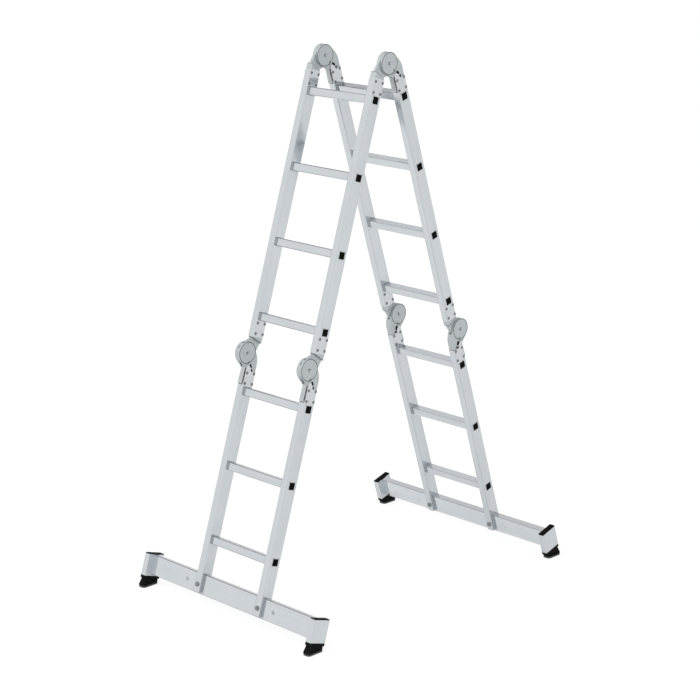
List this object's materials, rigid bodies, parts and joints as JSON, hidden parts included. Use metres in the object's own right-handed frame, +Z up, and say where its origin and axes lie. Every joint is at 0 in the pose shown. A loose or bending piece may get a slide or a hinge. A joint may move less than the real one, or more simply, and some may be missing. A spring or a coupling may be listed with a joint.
{
  "type": "combination ladder",
  "caption": "Folding multi-position aluminium ladder in hinged sections, standing as a double step ladder on stabiliser bars with rubber feet.",
  "frame": {"origin": "on the floor, midway between the legs and midway along the rungs", "axes": "+Z up; +X along the rungs; +Y from the front leg to the rear leg"},
  "size_m": [0.925, 1.3842, 2.0065],
  "materials": {
    "stile_aluminium": "mill finish, drawn along the stile",
    "rung_aluminium": "mill finish, drawn along the rung",
    "bar_aluminium": "mill finish, drawn along the tube",
    "hinge_steel": "zinc plated pressing",
    "pin_steel": "zinc plated, riveted ends",
    "lever_steel": "zinc plated pressing",
    "spring_steel": "plain, oiled",
    "bolt_steel": "dark zinc",
    "block_plastic": "moulded",
    "black_plastic": "moulded, satin",
    "black_rubber": "moulded"
  },
  "bodies": {
    "rear_upper": {"rear_hinge_tongues": "hinge_steel", "rear_rung_1": "rung_aluminium", "rear_rung_2": "rung_aluminium", "rear_rung_3": "rung_aluminium", "rear_rung_4": "rung_aluminium", "rear_upper_plugs": "black_plastic", "rear_upper_stile_left": "stile_aluminium", "rear_upper_stile_right": "stile_aluminium", "top_hinge_cheeks": "hinge_steel", "top_hinge_pins": "pin_steel", "top_lock_blocks": "block_plastic", "top_lock_springs": "spring_steel"},
    "front_upper": {"front_hinge_tongues": "hinge_steel", "front_rung_1": "rung_aluminium", "front_rung_2": "rung_aluminium", "front_rung_3": "rung_aluminium", "front_rung_4": "rung_aluminium", "front_upper_plugs": "black_plastic", "front_upper_stile_left": "stile_aluminium", "front_upper_stile_right": "stile_aluminium", "top_hinge_tongues": "hinge_steel"},
    "rear_lower": {"rear_end_lids": "black_plastic", "rear_end_tubes": "bar_aluminium", "rear_feet": "black_rubber", "rear_fork_bolts": "bolt_steel", "rear_hinge_cheeks": "hinge_steel", "rear_hinge_pins": "pin_steel", "rear_lock_blocks": "block_plastic", "rear_lock_springs": "spring_steel", "rear_lower_plugs": "black_plastic", "rear_lower_stile_left": "stile_aluminium", "rear_lower_stile_right": "stile_aluminium", "rear_rung_5": "rung_aluminium", "rear_rung_6": "rung_aluminium", "rear_rung_7": "rung_aluminium", "rear_stabiliser_bar": "bar_aluminium"},
    "front_lower": {"front_end_lids": "black_plastic", "front_end_tubes": "bar_aluminium", "front_feet": "black_rubber", "front_fork_bolts": "bolt_steel", "front_hinge_cheeks": "hinge_steel", "front_hinge_pins": "pin_steel", "front_lock_blocks": "block_plastic", "front_lock_springs": "spring_steel", "front_lower_plugs": "black_plastic", "front_lower_stile_left": "stile_aluminium", "front_lower_stile_right": "stile_aluminium", "front_rung_5": "rung_aluminium", "front_rung_6": "rung_aluminium", "front_rung_7": "rung_aluminium", "front_stabiliser_bar": "bar_aluminium"},
    "front_lever_left": {"front_lever_left": "lever_steel"},
    "front_lever_right": {"front_lever_right": "lever_steel"},
    "rear_lever_left": {"rear_lever_left": "lever_steel"},
    "rear_lever_right": {"rear_lever_right": "lever_steel"},
    "top_lever_left": {"top_lever_left": "lever_steel"},
    "top_lever_right": {"top_lever_right": "lever_steel"}
  },
  "joints": [
    {"name": "top_fold", "type": "hinge", "parent": "rear_upper", "child": "front_upper", "pos_m": [0, 0, 1.96553], "axis": [-1, 0, 0], "range_deg": [-34.6, 145]},
    {"name": "front_mid_fold", "type": "hinge", "parent": "front_upper", "child": "front_lower", "pos_m": [0, -0.40203, 0.91794], "axis": [-1, 0, 0], "range_deg": [0, 180]},
    {"name": "rear_mid_fold", "type": "hinge", "parent": "rear_upper", "child": "rear_lower", "pos_m": [0, 0.40203, 0.91794], "axis": [1, 0, 0], "range_deg": [0, 180]},
    {"name": "top_lever_left_press", "type": "hinge", "parent": "rear_upper", "child": "top_lever_left", "pos_m": [-0.1617, 0.03528, 1.9085], "axis": [1, 0, 0], "range_deg": [0, 10]},
    {"name": "top_lever_right_press", "type": "hinge", "parent": "rear_upper", "child": "top_lever_right", "pos_m": [0.1617, 0.03528, 1.9085], "axis": [1, 0, 0], "range_deg": [0, 10]},
    {"name": "front_lever_left_press", "type": "hinge", "parent": "front_lower", "child": "front_lever_left", "pos_m": [-0.1617, -0.40583, 0.85098], "axis": [1, 0, 0], "range_deg": [0, 10]},
    {"name": "front_lever_right_press", "type": "hinge", "parent": "front_lower", "child": "front_lever_right", "pos_m": [0.1617, -0.40583, 0.85098], "axis": [1, 0, 0], "range_deg": [0, 10]},
    {"name": "rear_lever_left_press", "type": "hinge", "parent": "rear_lower", "child": "rear_lever_left", "pos_m": [-0.1617, 0.40583, 0.85098], "axis": [-1, 0, 0], "range_deg": [0, 10]},
    {"name": "rear_lever_right_press", "type": "hinge", "parent": "rear_lower", "child": "rear_lever_right", "pos_m": [0.1617, 0.40583, 0.85098], "axis": [-1, 0, 0], "range_deg": [0, 10]}
  ]
}
